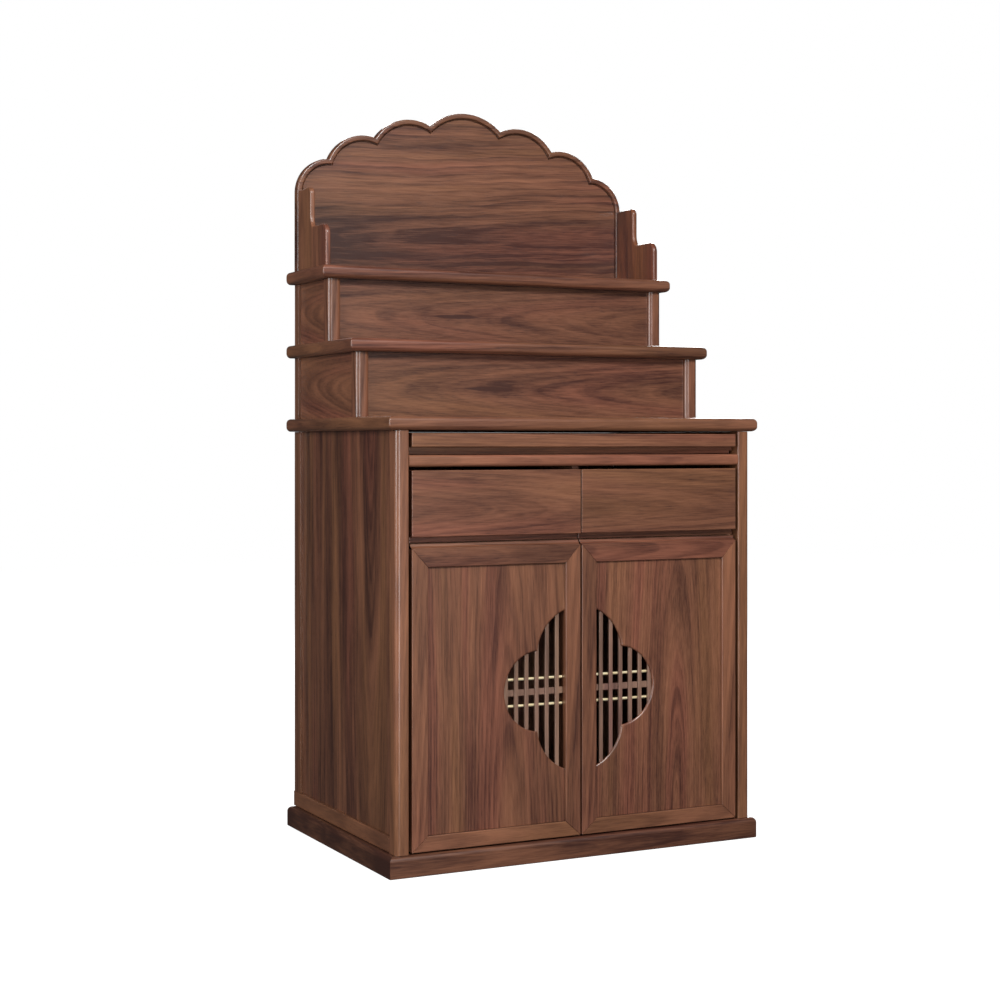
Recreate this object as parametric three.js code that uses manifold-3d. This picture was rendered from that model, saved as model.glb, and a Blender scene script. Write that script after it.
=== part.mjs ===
// Household altar cabinet in walnut: a two-door cabinet on a plinth, with a pull-out
// offering tray and two drawers, two rising steps and a scalloped backboard.
// Millimetres, +Z up, the front looks along -Y. The origin is the middle of the underside.

import * as THREE from 'three';
import { mergeVertices } from 'three/addons/utils/BufferGeometryUtils.js';
import Module from 'manifold-3d';

const wasm = await Module();
wasm.setup();

// Overall sizes
const overallWidth = 683;
const overallDepth = 455.5;
const jointGap = 0.3; // glue line left between pieces that touch

// Plinth: four mitred rails
const plinthInset = 1.5; // from the worktop's front and side edges
const plinthHeight = 34;
const plinthRailWidth = 38;
const plinthEdgeRadius = 8;
const plinthFootChamfer = 1;
const plinthCornerRadius = 3;

// Lower cabinet body
const bodyHeight = 658;
const sideOverhang = 13.5; // worktop beyond the body at each side
const frontOverhang = 6;
const postWidth = 22.5;
const frontPostDepth = 25;
const rearPostDepth = 33.5;
const postRadius = 5;
const rearPostRadius = 6;
const postInnerRadius = 2.5;
const sidePanelRecess = 5;
const sidePanelThickness = 10;
const sideRailHeight = 26;
const sideRailThickness = 15;
const sideRailCornerRadius = 9;
const sideRailEdge = 2;
const backPanelThickness = 8;
const backPanelInset = 6;
const floorThickness = 18;

// Worktop and step boards, rounded over on the front and both sides
const boardThickness = 22;
const boardEdgeRadius = 8;
const boardCornerRadius = 2;

// Front of the body, from the worktop down
const trayTopGap = 4.7;
const trayFaceHeight = 21.6;
const trayBoardThickness = 12;
const pullHeight = 8.6; // finger pull under the tray face and the drawer faces
const pullDepth = 12;
const trayLift = 3.6; // the strip's foot above the deck that the tray slides on
const trayDeckThickness = 18.5;
const trayDeckNose = 5;
const drawerTopGap = 5.5;
const drawerFaceHeight = 103.8;
const frontThickness = 20; // drawer fronts and the tray's front strip
const faceEdge = 1.5; // eased edge of every face board
const runGap = 1; // under a drawer box or the tray's board
const drawerDeckThickness = 18;
const drawerSplitGap = 1.6;
const slideGap = 5; // between a post and what moves beside it
const dividerThickness = 12;
const drawerWall = 12;
const drawerBottom = 6;
const drawerBoxDrop = 9; // box edge below the top of its front
const drawerRearSpace = 20;

// Doors
const doorTopGap = 2.2;
const doorBottomGap = 2.4;
const meetingGap = 2.5;
const doorThickness = 22;
const doorClearance = 1; // behind a closed door
const stileWidth = 27.5;
const doorTopFace = 29.4; // flat height of the top rail's face
const doorCoveHeight = 7; // hollow moulding along the top edge
const doorCoveDepth = 8;
const doorBottomRail = 24.2;
const doorPanelRecess = 4;
const doorPanelThickness = 12;

// Four-lobed window shared by the two doors, centred on the line where they meet
const windowHeight = 239.7; // centre of the window above the underside of the cabinet body
const uprightLobeOffset = 55;
const uprightLobeRadius = 82;
const sideLobeOffset = 72.5;
const sideLobeRadius = 68.5;
const windowEdge = 2.3; // depth of the rounded rim of the window
const windowEdgeWidth = 3.5;

// Lattice behind the window
const windowLip = 2.6; // wood left in front of the lattice pocket
const pocketMargin = 8;
const slatDepth = 4;
const slatWidth = 7;
const firstSlatGap = 8.8;
const slatGap = 11.5;
const crossBarDrop = 1.6; // below the centre of the window
const crossBarHeight = 10.3;
const crossBarDepth = 5;
const rodDiameter = 4.6;
const rodSpacing = 21.2; // from the cross bar's centre to each rod's

// Steps
const riserHeight = 107;
const lowerStepSetback = 166.5; // worktop's front edge to the lower step's front
const stepRun = 123;
const stepOverhang = 11.5;
const stepPostWidth = 24;
const stepFrontPostDepth = 20;
const stepRearPostDepth = 23.5;
const stepPanelRecess = 9;
const stepPanelThickness = 10;

// Scalloped backboard
const backboardThickness = 20;
const backboardSpring = 140; // straight height of its sides above the upper step
const rimWidth = 9;
const rimHeight = 5.5;
const rimEdge = 3;
const backboardRearEdge = 5.5;

// Stepped wings beside the backboard
const wingThickness = 9;
const wingEdge = 3;
const wingLowerHeight = 72;
const wingUpperHeight = 142;
const wingDepth = 135;
const wingUpperDepth = 62;
const wingLowerRadius = 19;
const wingUpperRadius = 12;
const wingHollowDepth = 12;
const wingHollowHeight = 20;

// Arc steps
const cornerSteps = 4;
const noseSteps = 5;
const lobeSteps = 12;
const rodSides = 12;

// Levels and lines that several pieces share
const front = -overallDepth / 2;
const back = overallDepth / 2;
const plinthFront = front + plinthInset;
const bodyFront = front + frontOverhang;
const bodyHalf = overallWidth / 2 - sideOverhang;
const bodyTop = plinthHeight + bodyHeight;
const openingHalf = bodyHalf - postWidth;
const frontPostRear = bodyFront + frontPostDepth;
const rearPostFront = back - rearPostDepth;
const backPanelFront = back - backPanelInset - backPanelThickness;
const worktopTop = bodyTop + boardThickness;
const trayFaceTop = bodyTop - trayTopGap;
const trayFaceBottom = trayFaceTop - trayFaceHeight;
const trayBottom = trayFaceBottom - pullHeight;
const trayDeckTop = trayBottom - trayLift;
const trayDeckBottom = trayDeckTop - trayDeckThickness;
const drawerTop = trayDeckBottom - drawerTopGap;
const drawerFaceBottom = drawerTop - drawerFaceHeight;
const drawerFoot = drawerFaceBottom - pullHeight;
const drawerDeckTop = drawerFoot - runGap;
const drawerDeckBottom = drawerDeckTop - drawerDeckThickness;
const doorTop = drawerFoot - doorTopGap;
const doorBottom = plinthHeight + doorBottomGap;
const doorRear = bodyFront + doorThickness;
const floorTop = plinthHeight + floorThickness;
const boxFront = bodyFront + frontThickness;
const boxRear = backPanelFront - drawerRearSpace;

const walnut = new THREE.MeshStandardMaterial({ color: 0x84583f, roughness: 0.45, metalness: 0 });
const walnutPanel = new THREE.MeshStandardMaterial({ color: 0x7d5240, roughness: 0.48, metalness: 0 });
const innerWood = new THREE.MeshStandardMaterial({ color: 0x9a7355, roughness: 0.6, metalness: 0 });
const brass = new THREE.MeshStandardMaterial({ color: 0xcfae62, roughness: 0.3, metalness: 1 });

// Solids

function bare(geometry) {
  const copy = geometry.index ? geometry.toNonIndexed() : geometry.clone();
  copy.deleteAttribute('normal');
  copy.deleteAttribute('uv');
  return mergeVertices(copy, 1e-4);
}

function toSolid(geometry) {
  const merged = bare(geometry);
  return new wasm.Manifold(new wasm.Mesh({
    numProp: 3,
    vertProperties: new Float32Array(merged.attributes.position.array),
    triVerts: new Uint32Array(merged.index.array),
  }));
}

function toGeometry(solid) {
  const mesh = solid.getMesh();
  const geometry = new THREE.BufferGeometry();
  geometry.setAttribute('position', new THREE.BufferAttribute(new Float32Array(mesh.vertProperties), 3));
  geometry.setIndex(new THREE.BufferAttribute(new Uint32Array(mesh.triVerts), 1));
  return geometry;
}

function joined(...geometries) {
  return toGeometry(geometries.map(toSolid).reduce((sum, solid) => sum.add(solid)));
}

function cut(geometry, ...tools) {
  return toGeometry(tools.map(toSolid).reduce((rest, tool) => rest.subtract(tool), toSolid(geometry)));
}

function common(first, second) {
  return toGeometry(toSolid(first).intersect(toSolid(second)));
}

// A box between two corners
function block(x0, x1, y0, y1, z0, z1) {
  const box = new THREE.BoxGeometry(x1 - x0, y1 - y0, z1 - z0);
  return box.translate((x0 + x1) / 2, (y0 + y1) / 2, (z0 + z1) / 2);
}

// Outline rings of equal count, one above the other, closed by flat ends
function stacked(layers) {
  const count = layers[0].points.length;
  const positions = [];
  const faces = [];
  for (const layer of layers) {
    for (const point of layer.points) positions.push(point.x, point.y, layer.level);
  }
  for (let layer = 0; layer + 1 < layers.length; layer += 1) {
    for (let i = 0; i < count; i += 1) {
      const a = layer * count + i;
      const b = layer * count + (i + 1) % count;
      faces.push(a, b, b + count, a, b + count, a + count);
    }
  }
  const last = (layers.length - 1) * count;
  for (const [a, b, c] of THREE.ShapeUtils.triangulateShape(layers[0].points, [])) faces.push(c, b, a);
  for (const [a, b, c] of THREE.ShapeUtils.triangulateShape(layers.at(-1).points, [])) {
    faces.push(last + a, last + b, last + c);
  }
  const geometry = new THREE.BufferGeometry();
  geometry.setAttribute('position', new THREE.Float32BufferAttribute(positions, 3));
  geometry.setIndex(faces);
  return geometry;
}

function arc(x, y, radius, from, to, steps) {
  return Array.from({ length: steps + 1 }, (_, i) => {
    const angle = THREE.MathUtils.degToRad(from + (to - from) * i / steps);
    return new THREE.Vector2(x + radius * Math.cos(angle), y + radius * Math.sin(angle));
  });
}

// Rectangle with its own radius at each corner, in the order of the quadrants
function roundedOutline(x0, x1, y0, y1, radii) {
  const corners = [[x1, y1, -1, -1, 0], [x0, y1, 1, -1, 90], [x0, y0, 1, 1, 180], [x1, y0, -1, 1, 270]];
  return corners.flatMap(([x, y, inX, inY, from], i) => (radii[i] > 0
    ? arc(x + inX * radii[i], y + inY * radii[i], radii[i], from, from + 90, cornerSteps)
    : [new THREE.Vector2(x, y)]));
}

function prism(points, height) {
  return new THREE.ExtrudeGeometry(new THREE.Shape(points), { depth: height, bevelEnabled: false });
}

// Extrusion with an eased edge on both faces, the outline keeping its size
function easedPrism(points, height, edge) {
  const geometry = new THREE.ExtrudeGeometry(new THREE.Shape(points), {
    depth: height - 2 * edge,
    bevelThickness: edge,
    bevelSize: edge,
    bevelOffset: -edge,
    bevelSegments: 2,
  });
  return geometry.translate(0, 0, edge);
}

const xAxis = new THREE.Vector3(1, 0, 0);
const yAxis = new THREE.Vector3(0, 1, 0);
const zAxis = new THREE.Vector3(0, 0, 1);

// An outline drawn in depth and height, extruded from left to right from x = 0
function acrossWidth(geometry) {
  return geometry.applyMatrix4(new THREE.Matrix4().makeBasis(yAxis, zAxis, xAxis));
}

// An outline drawn in width and height, extruded backwards from y = 0
function acrossDepth(geometry, depth) {
  const turn = new THREE.Matrix4().makeBasis(xAxis, zAxis, yAxis.clone().negate());
  return geometry.applyMatrix4(turn).translate(0, depth, 0);
}

function piece(group, name, geometry, material) {
  const mesh = new THREE.Mesh(geometry, material);
  mesh.name = name;
  group.add(mesh);
  return mesh;
}

const sides = [['left', -1], ['right', 1]];

// Boards

// Board rounded over on its front and both sides, square at the back, its front at y = 0
function roundedBoard(width, depth, cornerRadius, layers) {
  return stacked(layers.map(([level, inset]) => ({
    level,
    points: roundedOutline(-width / 2 + inset, width / 2 - inset, inset, depth, [0, 0, cornerRadius, cornerRadius]),
  })));
}

// Levels and insets of a quarter round that ends at the given level
function roundOver(level, radius) {
  return Array.from({ length: noseSteps + 1 }, (_, i) => {
    const angle = Math.PI / 2 * i / noseSteps;
    return [level - radius * (1 - Math.sin(angle)), radius * (1 - Math.cos(angle))];
  });
}

function stepBoard(depth) {
  const upper = roundOver(boardThickness, boardEdgeRadius);
  const lower = upper.map(([level, inset]) => [boardThickness - level, inset]).reverse();
  return roundedBoard(overallWidth, depth, boardCornerRadius, [...lower, ...upper]);
}

// Plinth

function plinth() {
  const group = new THREE.Group();
  const layers = [[0, plinthFootChamfer], [plinthFootChamfer, 0], ...roundOver(plinthHeight, plinthEdgeRadius)];
  const half = overallWidth / 2 - plinthInset;
  const blank = roundedBoard(2 * half, back - plinthFront, plinthCornerRadius, layers).translate(0, plinthFront, 0);
  const mitre = jointGap / Math.SQRT2;
  const inner = half - plinthRailWidth;
  const innerFront = plinthFront + plinthRailWidth;
  const innerBack = back - plinthRailWidth;
  const plans = {
    front: [[-half + mitre, plinthFront], [half - mitre, plinthFront],
      [inner - mitre, innerFront], [-inner + mitre, innerFront]],
    back: [[-inner + mitre, innerBack], [inner - mitre, innerBack], [half - mitre, back], [-half + mitre, back]],
    left: [[-half, plinthFront + mitre], [-inner, innerFront + mitre],
      [-inner, innerBack - mitre], [-half, back - mitre]],
    right: [[half, plinthFront + mitre], [half, back - mitre],
      [inner, innerBack - mitre], [inner, innerFront + mitre]],
  };
  for (const [side, plan] of Object.entries(plans)) {
    const slice = prism(plan.map(([x, y]) => new THREE.Vector2(x, y)), plinthHeight);
    piece(group, `plinth_${side}`, common(blank, slice), walnut);
  }
  return group;
}

// Upright with its own radius at each corner, standing at z = 0
function post(width, depth, height, radii) {
  return prism(roundedOutline(0, width, 0, depth, radii), height);
}

// Corner radii of a post seen from above: the sharp corners are the ones that touch a panel
function postRadii(side, outerFront, innerFront, outerRear) {
  return side < 0 ? [0, outerRear, outerFront, innerFront] : [outerRear, 0, innerFront, outerFront];
}

// Carcass of the lower cabinet

function lowerCabinet() {
  const group = new THREE.Group();
  for (const [label, side] of sides) {
    const left = side < 0 ? -bodyHalf : openingHalf;
    const frontPost = post(postWidth, frontPostDepth, bodyHeight - 2 * jointGap,
      postRadii(side, postRadius, postInnerRadius, 0));
    piece(group, `post_front_${label}`, frontPost, walnut)
      .position.set(left, bodyFront, plinthHeight + jointGap);
    const rearPost = post(postWidth, rearPostDepth, bodyHeight - sideRailHeight - 2 * jointGap,
      postRadii(side, 0, 0, rearPostRadius));
    piece(group, `post_rear_${label}`, rearPost, walnut)
      .position.set(left, rearPostFront, plinthHeight + sideRailHeight + jointGap);

    const panelOuter = bodyHalf - sidePanelRecess;
    const panelInner = panelOuter - sidePanelThickness;
    const panel = block(Math.min(side * panelOuter, side * panelInner), Math.max(side * panelOuter, side * panelInner),
      frontPostRear + jointGap, rearPostFront - jointGap,
      plinthHeight + sideRailHeight + jointGap, bodyTop - jointGap);
    piece(group, `side_panel_${label}`, panel, walnutPanel);

    const railOutline = roundedOutline(0, back - frontPostRear - jointGap, 0, sideRailHeight - jointGap,
      [0, sideRailCornerRadius, 0, 0]);
    const rail = acrossWidth(easedPrism(railOutline, sideRailThickness, sideRailEdge));
    piece(group, `side_rail_${label}`, rail, walnut)
      .position.set(side < 0 ? -bodyHalf : bodyHalf - sideRailThickness, frontPostRear + jointGap, plinthHeight + jointGap);
  }

  const backBoard = block(-openingHalf + jointGap, openingHalf - jointGap,
    backPanelFront, backPanelFront + backPanelThickness, plinthHeight + jointGap, bodyTop - jointGap);
  // the foot of the back reaches under the rear posts, up to the side rails
  const railInside = bodyHalf - sideRailThickness - jointGap;
  const backFoot = block(-railInside, railInside, backPanelFront, backPanelFront + backPanelThickness,
    plinthHeight + jointGap, plinthHeight + sideRailHeight - jointGap);
  piece(group, 'cabinet_back', joined(backBoard, backFoot), innerWood);

  const floor = deck(doorRear + doorClearance, floorThickness - jointGap, bodyHalf - sideRailThickness);
  piece(group, 'cabinet_floor', floor, innerWood).position.z = plinthHeight + jointGap;

  const panelInside = bodyHalf - sidePanelRecess - sidePanelThickness;
  piece(group, 'drawer_deck', deck(doorRear + doorClearance, drawerDeckThickness, panelInside), innerWood)
    .position.z = drawerDeckBottom;

  const noseOutline = roundedOutline(0, frontPostDepth + jointGap, 0, trayDeckThickness,
    [0, trayDeckNose, trayDeckNose, 0]);
  const nose = acrossWidth(prism(noseOutline, 2 * (openingHalf - jointGap)))
    .translate(-openingHalf + jointGap, bodyFront, 0);
  const trayDeck = joined(nose, deck(frontPostRear, trayDeckThickness, panelInside));
  piece(group, 'tray_deck', trayDeck, walnut).position.z = trayDeckBottom;

  const divider = block(-dividerThickness / 2, dividerThickness / 2,
    boxFront + doorClearance, backPanelFront - jointGap, drawerDeckTop + jointGap, trayDeckBottom - jointGap);
  piece(group, 'drawer_divider', divider, innerWood);

  piece(group, 'worktop', stepBoard(overallDepth), walnut).position.set(0, front, bodyTop);
  return group;
}

// Shelf that fits between the posts and widens to the side panels between them
function deck(frontLine, thickness, wideHalf) {
  const narrow = openingHalf - jointGap;
  const between = block(-narrow, narrow, frontLine, backPanelFront - jointGap, 0, thickness);
  const wide = wideHalf - jointGap;
  const wings = block(-wide, wide, frontPostRear + jointGap, rearPostFront - jointGap, 0, thickness);
  return joined(between, wings);
}

// Offering tray: a front strip with a finger pull, and a flat board behind it that slides on the deck
function tray() {
  const group = new THREE.Group();
  const half = openingHalf - slideGap;
  const strip = frontThickness;
  const deep = boxRear - bodyFront;
  const pull = pullHeight;
  const top = pull + trayFaceHeight;
  const boardFoot = runGap - trayLift;
  const boardTop = boardFoot + trayBoardThickness;
  const section = [
    [pullDepth, 0], [strip, 0], [strip, boardFoot], [deep, boardFoot], [deep, boardTop], [strip, boardTop],
    [strip, top], [faceEdge, top], [0, top - faceEdge], [0, pull + faceEdge], [faceEdge, pull], [pullDepth, pull],
  ].map(([y, z]) => new THREE.Vector2(y, z));
  const board = acrossWidth(prism(section, 2 * half));
  piece(group, 'offering_tray', board, walnut).position.set(-half, bodyFront, trayBottom);
  return group;
}

// Drawers: a front with a finger pull along its foot, and a box behind it
function drawer(label, side) {
  const group = new THREE.Group();
  const inner = drawerSplitGap / 2;
  const outer = openingHalf - slideGap;
  const top = pullHeight + drawerFaceHeight;
  const section = [
    [pullDepth, 0], [frontThickness, 0], [frontThickness, top], [faceEdge, top], [0, top - faceEdge],
    [0, pullHeight + faceEdge], [faceEdge, pullHeight], [pullDepth, pullHeight],
  ].map(([y, z]) => new THREE.Vector2(y, z));
  const face = acrossWidth(prism(section, outer - inner));
  const left = side < 0 ? -outer : inner;
  piece(group, `drawer_${label}_front`, face, walnut).position.set(left, bodyFront, drawerFoot);

  const boxInner = dividerThickness / 2 + slideGap;
  const x0 = side < 0 ? -outer : boxInner;
  const x1 = side < 0 ? -boxInner : outer;
  const z1 = drawerTop - drawerBoxDrop;
  const shell = block(x0, x1, boxFront + jointGap, boxRear, drawerFoot, z1);
  const room = block(x0 + drawerWall, x1 - drawerWall, boxFront, boxRear - drawerWall, drawerFoot + drawerBottom, z1 + 1);
  piece(group, `drawer_${label}_box`, cut(shell, room), innerWood);
  return group;
}

// Where two circles cross, on the side further from the reference point
function crossing(a, b, reference) {
  const between = b.centre.clone().sub(a.centre);
  const distance = between.length();
  const along = (distance ** 2 + a.radius ** 2 - b.radius ** 2) / (2 * distance);
  const across = Math.sqrt(Math.max(a.radius ** 2 - along ** 2, 0));
  const foot = a.centre.clone().addScaledVector(between, along / distance);
  const normal = new THREE.Vector2(-between.y, between.x).multiplyScalar(across / distance);
  const options = [foot.clone().add(normal), foot.clone().sub(normal)];
  return options[0].distanceTo(reference) > options[1].distanceTo(reference) ? options[0] : options[1];
}

// Points along a lobe from one cusp to the next, anticlockwise and without the last one
function lobeArc(lobe, from, to) {
  const start = THREE.MathUtils.radToDeg(from.clone().sub(lobe.centre).angle());
  let end = THREE.MathUtils.radToDeg(to.clone().sub(lobe.centre).angle());
  if (end < start) end += 360;
  return arc(lobe.centre.x, lobe.centre.y, lobe.radius, start, end, lobeSteps).slice(0, -1);
}

// Outline of the four-lobed window, its lobes smaller by the inset
function windowOutline(inset) {
  const lobes = [[sideLobeOffset, 0], [0, uprightLobeOffset], [-sideLobeOffset, 0], [0, -uprightLobeOffset]]
    .map(([x, y]) => ({
      centre: new THREE.Vector2(x, y),
      radius: (y === 0 ? sideLobeRadius : uprightLobeRadius) - inset,
    }));
  const middle = new THREE.Vector2(0, 0);
  const cusps = lobes.map((lobe, i) => crossing(lobes[(i + 3) % 4], lobe, middle));
  return lobes.flatMap((lobe, i) => lobeArc(lobe, cusps[i], cusps[(i + 1) % 4]));
}

// Doors: a frame of four mitred pieces round a panel with half of the window, and the lattice behind it
function door(label, side) {
  const group = new THREE.Group();
  const meeting = meetingGap / 2;
  const outer = openingHalf - slideGap;
  const innerMeeting = meeting + stileWidth;
  const innerOuter = outer - stileWidth;
  const faceTop = doorTop - doorCoveHeight;
  const panelTop = faceTop - doorTopFace;
  const panelBottom = doorBottom + doorBottomRail;
  const section = [
    [faceEdge, doorBottom], [doorThickness, doorBottom], [doorThickness, doorTop],
    ...Array.from({ length: cornerSteps + 1 }, (_, i) => {
      const angle = Math.PI / 2 * (1 - i / cornerSteps);
      return [doorCoveDepth * Math.sin(angle), doorTop - doorCoveHeight * Math.cos(angle)];
    }),
    [0, doorBottom + faceEdge],
  ].map(([y, z]) => new THREE.Vector2(y, z));
  const blank = acrossWidth(prism(section, outer - meeting)).translate(side < 0 ? -outer : meeting, 0, 0);
  const mitre = jointGap / Math.SQRT2;
  const plans = {
    top_rail: [[meeting, doorTop], [outer, doorTop], [outer, faceTop + mitre],
      [innerOuter, panelTop + mitre], [innerMeeting, panelTop + mitre], [meeting, faceTop + mitre]],
    bottom_rail: [[meeting, doorBottom], [outer, doorBottom], [innerOuter, panelBottom], [innerMeeting, panelBottom]],
    stile_hinge: [[outer, doorBottom + 2 * mitre], [outer, faceTop - mitre],
      [innerOuter, panelTop - mitre], [innerOuter, panelBottom + 2 * mitre]],
    stile_meeting: [[meeting, doorBottom + 2 * mitre], [innerMeeting, panelBottom + 2 * mitre],
      [innerMeeting, panelTop - mitre], [meeting, faceTop - mitre]],
  };
  for (const [part, plan] of Object.entries(plans)) {
    const outline = plan.map(([x, z]) => new THREE.Vector2(side * x, z));
    const slice = acrossDepth(prism(outline, doorThickness), doorThickness);
    piece(group, `door_${label}_${part}`, common(blank, slice), walnut).position.y = bodyFront;
  }

  const windowLevel = plinthHeight + windowHeight;
  const pocketOuter = sideLobeOffset + sideLobeRadius + pocketMargin;
  const pocketHalf = uprightLobeOffset + uprightLobeRadius + pocketMargin;
  const panelInner = innerMeeting + jointGap;
  const span = (near, far) => [Math.min(side * near, side * far), Math.max(side * near, side * far)];
  const panelBlank = block(...span(panelInner, innerOuter - jointGap), doorPanelRecess,
    doorPanelRecess + doorPanelThickness, panelBottom + jointGap, panelTop - jointGap);
  const pocketFloor = doorPanelRecess + windowLip;
  const pocket = block(...span(panelInner - 1, pocketOuter), pocketFloor, doorThickness,
    windowLevel - pocketHalf, windowLevel + pocketHalf);
  const rim = stacked([
    { level: 0, points: windowOutline(windowEdgeWidth) },
    { level: doorThickness - doorPanelRecess - windowEdge, points: windowOutline(windowEdgeWidth) },
    { level: doorThickness - doorPanelRecess, points: windowOutline(0) },
    { level: doorThickness, points: windowOutline(0) },
  ]);
  const hole = acrossDepth(rim, doorThickness).translate(0, 0, windowLevel);
  piece(group, `door_${label}_panel`, cut(panelBlank, pocket, hole), walnutPanel).position.y = bodyFront;

  const latticeFront = pocketFloor + jointGap;
  const latticeRear = latticeFront + slatDepth;
  const latticeEnd = pocketOuter - jointGap;
  const barLevel = windowLevel - crossBarDrop;
  const slats = [];
  for (let x = innerMeeting + firstSlatGap; x + slatWidth < latticeEnd; x += slatWidth + slatGap) {
    slats.push(block(...span(x, x + slatWidth), latticeFront, latticeRear,
      windowLevel - pocketHalf + jointGap, windowLevel + pocketHalf - jointGap));
  }
  const bar = block(...span(panelInner, latticeEnd), latticeRear - jointGap, latticeRear + crossBarDepth,
    barLevel - crossBarHeight / 2, barLevel + crossBarHeight / 2);
  piece(group, `door_${label}_lattice`, joined(bar, ...slats), walnut).position.y = bodyFront;

  const circle = arc(0, 0, rodDiameter / 2, 0, 360, rodSides).slice(0, -1);
  const [rodStart, rodEnd] = span(panelInner, latticeEnd);
  for (const [place, level] of [['lower', -1], ['upper', 1]]) {
    piece(group, `door_${label}_rod_${place}`, acrossWidth(prism(circle, rodEnd - rodStart)), brass)
      .position.set(rodStart, bodyFront + latticeRear + jointGap + rodDiameter / 2, barLevel + level * rodSpacing);
  }
  return group;
}

// Steps: a low box of posts and panels under its own board
function step(name, level, setback) {
  const group = new THREE.Group();
  group.position.z = level;
  const stepFront = front + setback;
  const rearLine = back - stepRearPostDepth;
  const height = riserHeight - 2 * jointGap;
  const innerHalf = bodyHalf - stepPostWidth;
  const frontRear = stepFront + stepFrontPostDepth;
  for (const [label, side] of sides) {
    const left = side < 0 ? -bodyHalf : innerHalf;
    piece(group, `${name}_post_front_${label}`, post(stepPostWidth, stepFrontPostDepth, height,
      postRadii(side, postRadius, postRadius, 0)), walnut).position.set(left, stepFront, jointGap);
    piece(group, `${name}_post_rear_${label}`, post(stepPostWidth, stepRearPostDepth, height,
      postRadii(side, 0, 0, postRadius)), walnut).position.set(left, rearLine, jointGap);
    const outerFace = side * (bodyHalf - sidePanelRecess);
    const innerFace = side * (bodyHalf - sidePanelRecess - stepPanelThickness);
    piece(group, `${name}_side_${label}`, block(Math.min(outerFace, innerFace), Math.max(outerFace, innerFace),
      frontRear + jointGap, rearLine - jointGap, jointGap, jointGap + height), walnutPanel);
  }
  piece(group, `${name}_front`, block(-innerHalf + jointGap, innerHalf - jointGap, stepFront + stepPanelRecess,
    stepFront + stepPanelRecess + stepPanelThickness, jointGap, jointGap + height), walnutPanel);
  piece(group, `${name}_back`, block(-innerHalf + jointGap, innerHalf - jointGap, backPanelFront,
    backPanelFront + backPanelThickness, jointGap, jointGap + height), innerWood);
  piece(group, `${name}_board`, stepBoard(overallDepth - setback + stepOverhang), walnut)
    .position.set(0, stepFront - stepOverhang, riserHeight);
  return group;
}

// Lobes of the backboard as shares of its half width: centre across, centre above the spring, radius
const lobeShares = [[0.808, 0, 0.192], [0.608, 0.105, 0.228], [0.331, 0.183, 0.258], [0, 0.18, 0.3205]];

// Outline of the backboard above its foot, its edge moved in by the inset
function backboardOutline(inset) {
  const right = lobeShares.map(([across, above, radius]) => ({
    centre: new THREE.Vector2(across * bodyHalf, backboardSpring + above * bodyHalf),
    radius: radius * bodyHalf - inset,
  }));
  const left = right.slice(0, -1).reverse()
    .map(({ centre, radius }) => ({ centre: new THREE.Vector2(-centre.x, centre.y), radius }));
  const lobes = [...right, ...left];
  const reference = new THREE.Vector2(0, backboardSpring);
  const spring = bodyHalf - inset;
  const cusps = [
    new THREE.Vector2(spring, backboardSpring),
    ...lobes.slice(1).map((lobe, i) => crossing(lobes[i], lobe, reference)),
    new THREE.Vector2(-spring, backboardSpring),
  ];
  return [
    new THREE.Vector2(-spring, 0),
    new THREE.Vector2(spring, 0),
    ...lobes.flatMap((lobe, i) => lobeArc(lobe, cusps[i], cusps[i + 1])),
    cusps.at(-1),
  ];
}

// Scalloped backboard with a raised rim along its edge
function backboard() {
  const rearRound = roundOver(backboardRearEdge, backboardRearEdge)
    .map(([level, inset]) => [backboardRearEdge - level, inset]).reverse();
  const body = stacked([...rearRound, ...roundOver(backboardThickness, rimEdge)]
    .map(([level, inset]) => ({ level, points: backboardOutline(inset) })));
  const field = prism(backboardOutline(rimWidth), rimHeight + 1)
    .translate(0, -1, backboardThickness - rimHeight);
  const foot = prism(roundedOutline(-bodyHalf + rimWidth, bodyHalf - rimWidth, -2, 1, [0, 0, 0, 0]), rimHeight + 1)
    .translate(0, -1, backboardThickness - rimHeight);
  return acrossDepth(cut(body, joined(field, foot)), backboardThickness);
}

// Stepped side wing: depth runs forward from the backboard, the upper part hollowed down to the lower one
function wing() {
  const hollowX = wingUpperDepth + wingHollowDepth;
  const hollow = Array.from({ length: cornerSteps + 2 }, (_, i) => {
    const angle = Math.PI / 2 * i / (cornerSteps + 1);
    return new THREE.Vector2(hollowX - wingHollowDepth * Math.sin(angle),
      wingLowerHeight + wingHollowHeight * (1 - Math.cos(angle)));
  });
  const outline = [
    new THREE.Vector2(0, 0),
    new THREE.Vector2(wingDepth, 0),
    ...arc(wingDepth - wingLowerRadius, wingLowerHeight - wingLowerRadius, wingLowerRadius, 0, 90, cornerSteps + 1),
    ...hollow,
    ...arc(wingUpperDepth - wingUpperRadius, wingUpperHeight - wingUpperRadius, wingUpperRadius, 0, 90, cornerSteps + 1),
    new THREE.Vector2(0, wingUpperHeight),
  ].map(({ x, y }) => new THREE.Vector2(-x, y));
  return acrossWidth(easedPrism(outline, wingThickness, wingEdge));
}

function crown(level) {
  const group = new THREE.Group();
  group.position.z = level + jointGap;
  piece(group, 'backboard', backboard(), walnutPanel).position.y = back - backboardThickness;
  for (const [label, side] of sides) {
    piece(group, `wing_${label}`, wing(), walnut)
      .position.set(side < 0 ? -bodyHalf : bodyHalf - wingThickness, back - backboardThickness - jointGap, 0);
  }
  return group;
}

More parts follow.
